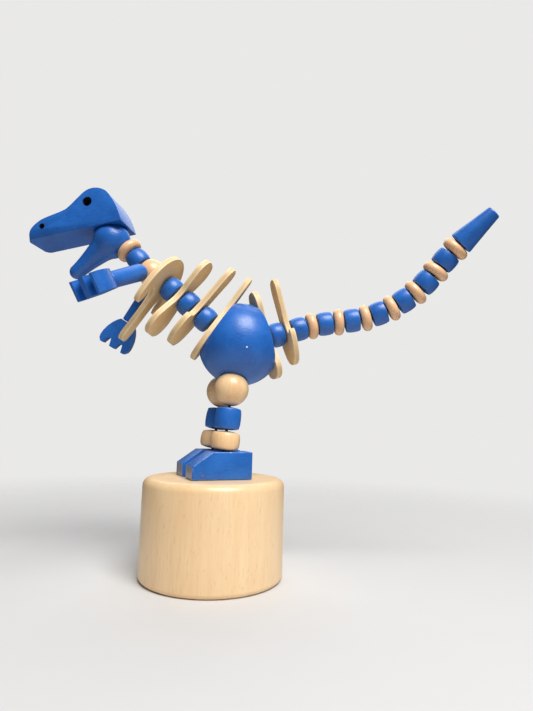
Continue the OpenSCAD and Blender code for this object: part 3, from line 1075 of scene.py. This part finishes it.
@dataclass
class ArmRod(Turning):
    """Tapered arm with a round shoulder."""

    bored: ClassVar[bool] = False
    d: float = 7 * MM
    end_d: float = 6.2 * MM
    l: float = 19 * MM
    edge: float = 0.7 * MM
    steps: int = 12

    def outline(self) -> list[Corner]:
        """Gives the open outline from the round shoulder to the wrist.

        Returns:
            Place, radius and wear, for each point.
        """
        r = self.d / 2
        shoulder = arc((0.0, 0.0), r, (0.0, math.pi / 2), self.steps)
        wrist = eased([(0.0, r, 0.0), (self.l, self.end_d / 2, self.edge), (self.l, 0.0, 0.0)])
        return shoulder + wrist[1:]


@dataclass
class RibPlate:
    """Plywood plate with sanded edges, cut from its node's outline."""

    t: float = 3 * MM
    sanded_off: float = 0.35 * MM
    sanding: float = 0.5 * MM

    def axes(self, node: str) -> Matrix:
        """Finds a plate's own axes, with X square to the plate.

        Args:
            node: The plate's node.

        Returns:
            Axes at the middle of the plate's thickness.
        """
        square = broadside(node)
        depths = [corner.dot(square) for corner in corners_of(node)]
        centre = middle(node)
        centre += square * ((min(depths) + max(depths)) / 2 - centre.dot(square))
        return seat(centre, square, Vector((0, 1, 0)))

    def build(self, node: str, body: str, seat_at: Optional[Vector] = None) -> None:
        """Cuts the plate for a node and hangs it on a body.

        Args:
            node: The plate's node.
            body: The body that it rides on.
            seat_at: A place behind the flat that the plate lies on, if it lies on one.
        """
        place = self.axes(node)
        made = copied(node, place)
        seated = 0.0
        if seat_at is not None:
            seated = math.copysign(self.sanded_off, (place.inverted() @ seat_at).x)
        for vert in made.verts:
            vert.co.x = vert.co.x * (1 - 2 * self.sanded_off / self.t) + seated
        fitted(f"{node}_sanded", sanded(made, self.sanding), place, body, node, PLY)


@dataclass
class Base:
    """Drum, button and spring."""

    d: float = 55 * MM
    h: float = 37.2 * MM
    wall: float = 5.5 * MM
    top: float = 6 * MM
    top_ring: float = 0.6
    round_top: float = 3 * MM
    round_low: float = 2 * MM
    round_mouth: float = 0.6 * MM
    round_inside: float = 1.0 * MM
    button_top: float = 14 * MM
    button_edge: float = 0.4 * MM
    travel: float = 8 * MM
    spring_d: float = 25 * MM
    spring_fit: float = 0.4 * MM
    wire: float = 1.2 * MM
    wire_sides: int = 10
    curls: int = 5
    curl_steps: int = 24
    flat_curl: float = 0.5
    flat_rise: float = 0.15

    def build(self) -> None:
        """Builds the base's pieces."""
        self.drum()
        button = sanded(copied("push_button", FRAME_AXES), self.button_edge)
        fitted("push_button_turned", button, FRAME_AXES, "button", "push_button", DRUM_WOOD)
        self.spring()

    def drum(self) -> None:
        """Turns the hollow drum."""
        r = self.d / 2
        inner = r - self.wall
        under = self.h - self.top
        corners = [
            (under, 0.0, 0.0),
            (under, inner, self.round_inside),
            (0.0, inner, self.round_mouth),
            (0.0, r, self.round_low),
            (self.h / 3, r, 0.0),
            (2 * self.h / 3, r, 0.0),
            (self.h, r, self.round_top),
            (self.h, self.top_ring * r, 0.0),
            (self.h, 0.0, 0.0),
        ]
        made = turned(eased(corners), closed=False)
        made.transform(Matrix.Rotation(-math.pi / 2, 4, "Y"))
        fitted("base_drum_turned", made, FRAME_AXES, "base", "base_drum", DRUM_WOOD)

    def spring(self) -> None:
        """Winds the return spring between the button's top and the drum's top."""
        low = self.button_top + self.spring_fit + self.wire / 2
        high = self.h - self.top - self.spring_fit - self.wire / 2
        r = self.spring_d / 2
        steps = self.curls * self.curl_steps
        route = []
        for i in range(steps + 1):
            angle = 2 * math.pi * i / self.curl_steps
            share = i / steps
            climb = clamped((share * self.curls - self.flat_curl) / (self.curls - 2 * self.flat_curl))
            rise = self.flat_rise * share + (1 - self.flat_rise) * climb
            route.append(Vector((r * math.cos(angle), r * math.sin(angle), low + (high - low) * rise)))
        made = tube(route, self.wire / 2, self.wire_sides)
        spring = fitted("return_spring_wound", made, FRAME_AXES, "base", "return_spring", WIRE)
        length = high - low + self.wire
        keep = (length - self.travel) / length
        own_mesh(spring)


@dataclass
class Cords:
    """Cords, seen as short lengths between the strung pieces and as knots at their ends."""

    reach: float = 2.0 * MM
    bend_steps: int = 6
    drum_steps: int = 8
    knot_d: float = 3.2 * MM
    knot_strand: float = 0.3
    knot_waist: float = 0.62
    knot_rise: float = 0.8
    knot_steps: int = 96
    knot_sides: int = 8

    def stub(self, body: str, node: str, joint: Vector, before: Vector, after: Vector) -> None:
        """Lays the length of cord that crosses from one piece into the next.

        Args:
            body: The body of the next piece.
            node: The cord's node.
            joint: Where the cord crosses.
            before: Direction of the cord up to there.
            after: Direction of the cord past it.
        """
        start = joint - before.normalized() * self.reach
        end = joint + after.normalized() * self.reach
        route = []
        for k in range(self.bend_steps + 1):
            t = k / self.bend_steps
            route.append(start * (1 - t) ** 2 + joint * (2 * t * (1 - t)) + end * t**2)
        place = seat(joint, after, hinge(body))
        made = tube(route, CORD_R)
        made.transform(place.inverted())
        fitted(f"{node}_at_{body}", made, place, body, node, CORD)

    def along(self, node: str, bodies: Sequence[str], end: Vector) -> None:
        """Lays a cord's lengths at each joint of a string of pieces.

        Args:
            node: The cord's node.
            bodies: Bodies of the pieces, in order.
            end: Where the cord ends.
        """
        stops = [*stops_along(bodies), end]
        for i, body in enumerate(bodies):
            before = stops[i] - stops[i - 1] if i else stops[1] - stops[0]
            self.stub(body, node, stops[i], before, stops[i + 1] - stops[i])

    def knot(self, name: str, centre: Vector, body: str, node: str) -> None:
        """Ties a round knot, whose strand goes twice round and three times in and out.

        Args:
            name: The piece's name.
            centre: Where the knot sits.
            body: The body that it rides on.
            node: The cord's node.
        """
        strand = self.knot_strand * self.knot_d / 2
        ring = self.knot_d / 2 - strand
        route = []
        for k in range(self.knot_steps + 1):
            t = 2 * math.pi * k / self.knot_steps
            out = ring * (self.knot_waist + (1 - self.knot_waist) * math.cos(3 * t))
            rise = self.knot_rise * ring * math.sin(3 * t)
            route.append(Vector((out * math.cos(2 * t), out * math.sin(2 * t), rise)))
        made = tube(route, strand, self.knot_sides)
        fitted(name, made, Matrix.Translation(centre), body, node, CORD)

    def inside_drum(self, base: Base, side: Side, node: str) -> None:
        """Lays a leg's cord inside the drum, with its knot in the button's hollow.

        Args:
            base: The base that the cord runs in.
            side: The leg's side.
            node: The cord's node.
        """
        ankle = pivot(f"{side.value}_ankle_bead")
        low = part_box(node)[0].z + self.knot_d / 2
        at = Vector((ankle.x, ankle.y, low))
        self.knot(f"{node}_knot_under_button", at, "button", node)
        made = tube(straight(at, Vector((at.x, at.y, base.h)), self.drum_steps), CORD_R)
        run = fitted(f"{node}_in_drum", made, FRAME_AXES, "base", node, CORD)
        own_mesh(run)

    def through_shoulder(self) -> None:
        """Lays the short cord through the shoulder bead, with a knot in each arm."""
        ends = [pivot(f"{side.value}_arm") for side in Side]
        made = tube(straight(*ends, self.bend_steps), CORD_R)
        fitted("arm_cord_run", made, FRAME_AXES, "shoulder_bead", "arm_cord", CORD)
        for side, end in zip(Side, ends):
            self.knot(f"arm_cord_knot_{side.value}", end, "shoulder_bead", "arm_cord")


@dataclass
class Leg:
    """Foot, ankle bead, shin bead and hip ball of one side."""

    side: Side
    ankle: TurnedBead
    shin: TurnedBead
    hip: HipBall
    foot_paint: Finish
    foot_edge: float = 0.5 * MM
    toe_facing: float = 0.9

    def build(self) -> list[str]:
        """Builds the leg.

        Returns:
            The leg's bodies from the foot up.
        """
        pieces = ("foot", "ankle_bead", "shin_bead", "hip_ball")
        bodies = [f"{self.side.value}_{piece}" for piece in pieces]
        foot, ankle, shin, hip = bodies
        axes = strung(bodies[1:], middle(hip))
        across = -hinge(foot)
        foot_at = Vector((pivot(ankle).x, pivot(ankle).y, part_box(foot)[0].z))
        self.foot(foot, seat(foot_at, across.cross(UP), across))
        self.ankle.build(ankle, axes[ankle], BEAD_WOOD)
        self.shin.build(shin, axes[shin], PAINT)
        self.hip.build(hip, axes[hip], BEAD_WOOD)
        return bodies

    def foot(self, body: str, place: Matrix) -> None:
        """Shapes the foot, whose toe fronts are rubbed pale.

        Args:
            body: The foot's body and node.
            place: Axes under the ankle, with X toward the toes.
        """
        made = sanded(copied(body, place), self.foot_edge)
        foot = fitted(f"{body}_shaped", made, place, body, body, self.foot_paint)
        foot.data.materials.append(TOE_PAINT.material())
        for face in foot.data.polygons:
            face.material_index = 1 if face.normal.x > self.toe_facing else 0


@dataclass
class Pelvis:
    """Pelvis ball with its two ribs."""

    rib: RibPlate
    edge: float = 0.35 * MM

    def build(self) -> None:
        """Builds the ball and hangs its ribs."""
        centre = middle("pelvis_ball")
        place = Matrix.Translation(centre)
        ball = sanded(copied("pelvis_ball", place), self.edge)
        fitted("pelvis_ball_turned", ball, place, "pelvis", "pelvis_ball", CHIP_PAINT)
        self.rib.build("pelvis_front_rib", "pelvis", centre)
        self.rib.build("pelvis_rear_rib", "pelvis", centre)


@dataclass
class Jaw:
    """Turned lower jaw with a round dome, a slim waist and a round tip."""

    dome_r: float = 7.7 * MM
    dome_steps: int = 18
    waist_r: float = 4.4 * MM
    waist_pull: float = 0.8
    tip_r: float = 3.1 * MM
    tip_wear: float = 0.3
    tip_past: float = 1.3
    l: float = 20 * MM
    lean: float = math.radians(52)
    seat_depth: float = 6.8 * MM
    steps: int = 8

    def outline(self) -> list[Corner]:
        """Gives the open outline from the dome's pole to the tip's.

        Returns:
            Place, radius and wear, for each point.
        """
        points = arc((0.0, 0.0), self.dome_r, (0.0, math.pi - self.lean), self.dome_steps)
        neck = Vector(points[-1][:2])
        slope = Vector((math.sin(self.lean), -math.cos(self.lean)))
        waist = Vector((self.l / 2, self.waist_r))
        tip = Vector((self.l, self.tip_r))
        level = (tip - neck).normalized()
        curves = ((neck, waist, slope, level), (waist, tip, level, Vector((1, 0))))
        for first, second, lead, trail in curves:
            pull = (second - first).length * self.waist_pull
            for k in range(1, self.steps + 1):
                t = k / self.steps
                point = first * (2 * t**3 - 3 * t**2 + 1) + second * (3 * t**2 - 2 * t**3)
                point += (lead * (t**3 - 2 * t**2 + t) + trail * (t**3 - t**2)) * pull
                points.append((point.x, point.y, 0.0))
        end = arc((self.l, 0.0), self.tip_r, (math.pi / 2, math.pi), self.steps, self.tip_wear)
        return points + end[1:]

    def build(self, neck: Vector) -> None:
        """Turns the jaw and cuts its flat seat on the neck ring.

        Args:
            neck: Direction of the cord in the neck ring.
        """
        body = "lower_jaw"
        dome = pivot("skull")
        past = self.tip_past * self.dome_r
        tip = mean([corner for corner in corners_of(body) if (corner - dome).length > past])
        place = seat(dome, tip - dome, hinge("skull"))
        made = turned(self.outline(), closed=False)
        back = place.inverted().to_3x3() @ -neck.normalized()
        cut = bmesh.ops.bisect_plane(
            made,
            geom=[*made.verts, *made.edges, *made.faces],
            plane_co=back * self.seat_depth,
            plane_no=back,
            clear_outer=True,
        )
        rim = [part for part in cut["geom_cut"] if isinstance(part, bmesh.types.BMEdge)]
        bmesh.ops.contextual_create(made, geom=rim)
        fitted("lower_jaw_turned", made, place, body, body, PAINT)


@dataclass
class Skull:
    """Skull block with eased edges and dark eye and nostril holes."""

    pitch: float = math.radians(-11)
    edge: float = 0.8 * MM
    w: float = 16 * MM
    eye: Spot = (5.5 * MM, 15.5 * MM)
    eye_d: float = 4 * MM
    nostril: Spot = (26.4 * MM, 9.1 * MM)
    nostril_d: float = 2.4 * MM
    hole_share: float = 0.52
    hole_from: float = 0.1 * MM
    snout_x: float = 32.2 * MM
    snout_r: float = 2.6 * MM
    snout_steps: int = 5
    snout_from: float = 28.5 * MM
    snout_longer: float = 1.3 * MM

    def build(self) -> None:
        """Shapes the skull and darkens its holes."""
        body = "skull"
        across = hinge(body)
        level = Vector((across.y, -across.x, 0)).normalized()
        if level.x > 0:
            level.negate()
        along = level * math.cos(self.pitch) + UP * math.sin(self.pitch)
        place = seat(pivot(body), along, UP.cross(level))
        made = copied(body, place)
        self.round_snout(made)
        skull = fitted("skull_shaped", sanded(made, self.edge), place, body, body, PAINT)
        skull.data.materials.append(HOLE.material())
        for face in skull.data.polygons:
            face.material_index = 1 if self.in_hole(face) else 0

    def round_snout(self, made: Mesh) -> None:
        """Draws the snout out past the nostrils and rounds both its sides toward the front.

        Args:
            made: The skull's edited mesh.
        """
        for vert in made.verts:
            past = max(vert.co.x - self.snout_from, 0.0) / (self.snout_x - self.snout_from)
            vert.co.x += self.snout_longer * past
        start = self.snout_x + self.snout_longer - self.snout_r
        for k in range(1, self.snout_steps):
            x = start + self.snout_r * math.sin(math.pi / 2 * k / self.snout_steps)
            geom = [*made.verts, *made.edges, *made.faces]
            bmesh.ops.bisect_plane(made, geom=geom, plane_co=(x, 0, 0), plane_no=(1, 0, 0))
        for vert in made.verts:
            ahead = clamped((vert.co.x - start) / self.snout_r)
            half = self.w / 2 - self.snout_r * (1 - math.sqrt(1 - ahead**2))
            vert.co.y *= 2 * half / self.w

    def in_hole(self, face: bpy.types.MeshPolygon) -> bool:
        """Tells whether a face is inside an eye or nostril hole.

        Args:
            face: A face of the skull.

        Returns:
            Whether it is.
        """
        if abs(face.center.y) >= self.w / 2 - self.hole_from:
            return False
        holes = ((self.eye, self.eye_d), (self.nostril, self.nostril_d))
        off = [math.hypot(face.center.x - x, face.center.z - z) / d for (x, z), d in holes]
        return min(off) < self.hole_share


@dataclass
class Arm:
    """Arm and three-clawed hand of one side."""

    side: Side
    rod: ArmRod
    claw_edge: float = 0.5 * MM
    hand_l: float = 12.5 * MM
    hand_w: float = 13.5 * MM
    hand_t: float = 7.2 * MM
    notch_mouth: float = 3.2 * MM
    notch_end: float = 1.4 * MM
    notch_l: float = 3.0 * MM
    notch_share: float = 0.2
    far_shares: tuple[float, ...] = (0.0, 0.1, 0.25, 0.45, 0.65, 0.8, 0.9, 1.0)
    wide_shares: tuple[float, ...] = (0.23, 0.31, 0.39, 0.46, 0.495, 0.5, 0.48, 0.4)

    def build(self) -> None:
        """Builds the arm and the hand."""
        arm, hand = f"{self.side.value}_arm", f"{self.side.value}_hand"
        wrist = pivot(hand)
        along = wrist - pivot(arm)
        self.rod.build(arm, seat(pivot(arm), along, hinge(arm)), PAINT)
        made = sanded(sawn(self.fan(), self.hand_t), self.claw_edge)
        place = seat(wrist, along, broadside(hand))
        fitted(f"{hand}_shaped", made, place, hand, hand, PAINT)

    def fan(self) -> list[Spot]:
        """Gives the hand's outline, from the wrist round the three claws.

        Returns:
            Points along the hand and across it.
        """
        shares = zip(self.far_shares, self.wide_shares)
        side = [(self.hand_l * far, self.hand_w * wide) for far, wide in shares]
        mouth, end = self.notch_mouth / 2, self.notch_end / 2
        notch = ((0, mouth), (self.notch_l, end), (self.notch_l, -end), (0, -mouth))
        apart = self.notch_share * self.hand_w
        tips = [(self.hand_l - depth, at + z) for at in (apart, -apart) for depth, z in notch]
        return side + tips + [(x, -z) for x, z in reversed(side)]


@dataclass
class Spine:
    """Pieces from the pelvis to the neck ring."""

    bead: TurnedBead
    rib: RibPlate
    shoulder: TurnedBead
    neck: TurnedBead
    ring: RoundRing

    def bodies(self) -> list[str]:
        """Lists the bodies on the head's cord, from the pelvis to the jaw."""
        chest = ["spine_bead_1", "rib_1", "spine_bead_2", "rib_2", "spine_bead_3", "chest_rib"]
        return [*chest, "shoulder_bead", "neck_bead", "neck_ring", "lower_jaw"]

    def build(self) -> Vector:
        """Builds the spine.

        Returns:
            Direction of the cord in the neck ring.
        """
        *bodies, jaw = self.bodies()
        stops = stops_along([*bodies, jaw])
        axes = strung(bodies, stops[-1])
        for body in bodies:
            if "rib" in body:
                self.rib.build(body, body)
            elif body.startswith("spine"):
                self.bead.build(body, axes[body], PAINT)
        self.shoulder.build("shoulder_bead", axes["shoulder_bead"], RING_WOOD)
        self.neck.build("neck_bead", axes["neck_bead"], PAINT)
        self.ring.build("neck_ring", axes["neck_ring"], RING_WOOD)
        return stops[-1] - stops[-2]


@dataclass
class Tail:
    """Tail of beads and rings by turns, after a short bead and a rib."""

    first: TurnedBead
    rib: RibPlate
    bead: TurnedBead
    ring: RoundRing
    tip: TailTip
    pairs: int = 7
    end_slack: float = 0.1 * MM

    def build(self) -> list[str]:
        """Builds the tail.

        Returns:
            Its bodies, from the pelvis to the tip.
        """
        bodies = ["tail_bead_1", "tail_rib"]
        for pair in range(1, self.pairs + 1):
            bodies += [f"tail_bead_{pair + 1}", f"tail_ring_{pair}"]
        bodies.append("tail_tip")
        axes = strung(bodies, self.end())
        self.first.build(bodies[0], axes[bodies[0]], PAINT)
        self.rib.build("tail_rib", "tail_rib")
        for body in bodies[2:-1]:
            if "ring" in body:
                self.ring.build(body, axes[body], RING_WOOD)
            else:
                self.bead.build(body, axes[body], PAINT)
        self.tip.build("tail_tip", axes["tail_tip"], PAINT)
        return bodies

    def end(self) -> Vector:
        """Finds the middle of the tip's far end.

        Returns:
            Its place.
        """
        start = middle(f"tail_ring_{self.pairs}")
        corners = corners_of("tail_tip")
        reach = max((corner - start).length for corner in corners) - self.end_slack
        return mean([corner for corner in corners if (corner - start).length > reach])


@dataclass
class Studio:
    """Pale floor and background, soft lamps and the camera."""

    pale: Colour = (0.82, 0.815, 0.81, 1.0)
    board: Colour = (0.66, 0.655, 0.65, 1.0)
    board_dull: float = 0.8
    mottle: Speckle = Speckle(60.0)
    mottle_share: float = 0.97
    floor_r: float = 0.45
    floor_sides: int = 96
    fade_from: float = 0.07
    fade_share: float = 0.9
    fill: float = 0.14
    key_w: float = 8.5
    key_size: float = 0.45
    key_at: Point = (0.16, -0.42, 0.72)
    back_w: float = 2.8
    back_size: float = 0.8
    back_at: Point = (0.0, 0.6, 0.75)
    look_at: Point = (0.0, 0.0, 0.08)
    camera_at: Point = (1.3 * MM, -199.4 * MM, 58.0 * MM)
    camera_right: Point = (0.99525, -0.09356, 0.02705)
    camera_ahead: Point = (0.08888, 0.98607, 0.14061)
    camera_near: float = 0.01
    lens: float = 24.815
    sensor: float = 36.0

    def build(self) -> None:
        """Builds the stage."""
        bpy.context.scene.view_settings.view_transform = "Standard"
        self.background()
        self.floor()
        self.lamp("key", self.key_at, self.key_w, self.key_size)
        self.lamp("back", self.back_at, self.back_w, self.back_size)
        self.camera()

    def background(self) -> None:
        """Fills the world, pale to the eye and dimmer as a lamp."""
        world = bpy.data.worlds.new("pale room")
        bpy.context.scene.world = world
        tree = FinishTree(world)
        seen = tree.add("ShaderNodeLightPath", output="Is Camera Ray")
        strength = self.fill + seen * (1.0 - self.fill)
        light = tree.add("ShaderNodeBackground", {}, {"Color": self.pale, "Strength": strength})
        tree.add("ShaderNodeOutputWorld", {}, {"Surface": light})

    def floor(self) -> None:
        """Lays a round pale floor that fades into the background."""
        made = bmesh.new()
        bmesh.ops.create_circle(made, cap_ends=True, segments=self.floor_sides, radius=self.floor_r)
        floor = bpy.data.objects.new("pale_floor", shaped(made, "pale_floor"))
        bpy.context.scene.collection.objects.link(floor)
        tree = FinishTree(bpy.data.materials.new("pale floor"))
        place = {0: tree.local()}
        reach = tree.add("ShaderNodeVectorMath", {"operation": "LENGTH"}, place, output="Value")
        darker = tuple(self.mottle_share * share for share in self.board[:3])
        colour = tree.mix(tree.noise(self.mottle), self.board, (*darker, 1.0))
        sockets = {"Base Color": colour, "Roughness": self.board_dull}
        board = tree.add("ShaderNodeBsdfPrincipled", {}, sockets)
        clear = tree.add("ShaderNodeBsdfTransparent")
        fade = tree.ease(reach, (self.fade_from, self.fade_share * self.floor_r))
        both = tree.add("ShaderNodeMixShader", {}, {0: fade, 1: board, 2: clear})
        tree.add("ShaderNodeOutputMaterial", {}, {"Surface": both})
        floor.data.materials.append(tree.owner)

    def lamp(self, name: str, at: Point, watts: float, size: float) -> None:
        """Hangs a square soft lamp aimed at the toy.

        Args:
            name: The lamp's name.
            at: Where it hangs.
            watts: How strong it is.
            size: Length of its side.
        """
        light = bpy.data.lights.new(name, "AREA")
        light.energy = watts
        light.size = size
        lamp = bpy.data.objects.new(name, light)
        aim = Vector(self.look_at) - Vector(at)
        lamp.matrix_world = Matrix.Translation(at) @ aim.to_track_quat("-Z", "Y").to_matrix().to_4x4()
        bpy.context.scene.collection.objects.link(lamp)

    def camera(self) -> None:
        """Sets up the camera that sees the toy as photographed."""
        ahead = Vector(self.camera_ahead).normalized()
        right = Vector(self.camera_right)
        right = (right - ahead * right.dot(ahead)).normalized()
        axes = Matrix((right, right.cross(ahead), -ahead)).transposed()
        lens = bpy.data.cameras.new("camera")
        lens.lens = self.lens
        lens.sensor_width = self.sensor
        lens.sensor_fit = "AUTO"
        lens.clip_start = self.camera_near
        camera = bpy.data.objects.new("camera", lens)
        camera.matrix_world = Matrix.Translation(self.camera_at) @ axes.to_4x4()
        bpy.context.scene.collection.objects.link(camera)
        bpy.context.scene.camera = camera


def main() -> None:
    """Builds the toy's pieces in order and dresses them."""
    logging.basicConfig(level=logging.INFO, format="%(message)s")
    Studio().build()
    base = Base()
    base.build()
    cords = Cords()
    plate = RibPlate()
    ankle = TurnedBead(d=11.4 * MM, end_d=10.2 * MM, l=7.5 * MM)
    shin = TurnedBead(d=10.2 * MM, end_d=9.4 * MM, l=9 * MM, edge=0.6 * MM)
    spine_bead = TurnedBead(d=10.4 * MM, end_d=9.4 * MM, l=5.8 * MM, edge=0.5 * MM, longer=0.6 * MM)
    legs = ((Side.LEFT, "head_cord", SPECK_PAINT), (Side.RIGHT, "tail_cord", PAINT))
    for side, node, foot_paint in legs:
        bodies = Leg(side, ankle, shin, HipBall(), foot_paint).build()
        cords.along(node, bodies[1:], middle(bodies[-1]))
        cords.inside_drum(base, side, node)
    Pelvis(plate).build()
    spine = Spine(
        bead=spine_bead,
        rib=plate,
        shoulder=TurnedBead(d=11.6 * MM, end_d=8.6 * MM, l=9.6 * MM),
        neck=TurnedBead(d=9.2 * MM, end_d=8.2 * MM, l=7 * MM),
        ring=RoundRing(d=11.2 * MM),
    )
    neck = spine.build()
    cords.along("head_cord", spine.bodies(), pivot("skull"))
    Jaw().build(neck)
    Skull().build()
    for side in Side:
        Arm(side, ArmRod()).build()
    tail = Tail(
        first=spine_bead,
        rib=plate,
        bead=TurnedBead(d=10.1 * MM, end_d=9.3 * MM, l=7.1 * MM, edge=0.5 * MM),
        ring=RoundRing(d=11.4 * MM),
        tip=TailTip(),
    )
    cords.along("tail_cord", tail.build(), tail.end())
    cords.through_shoulder()


if __name__ == "__main__":
    main()
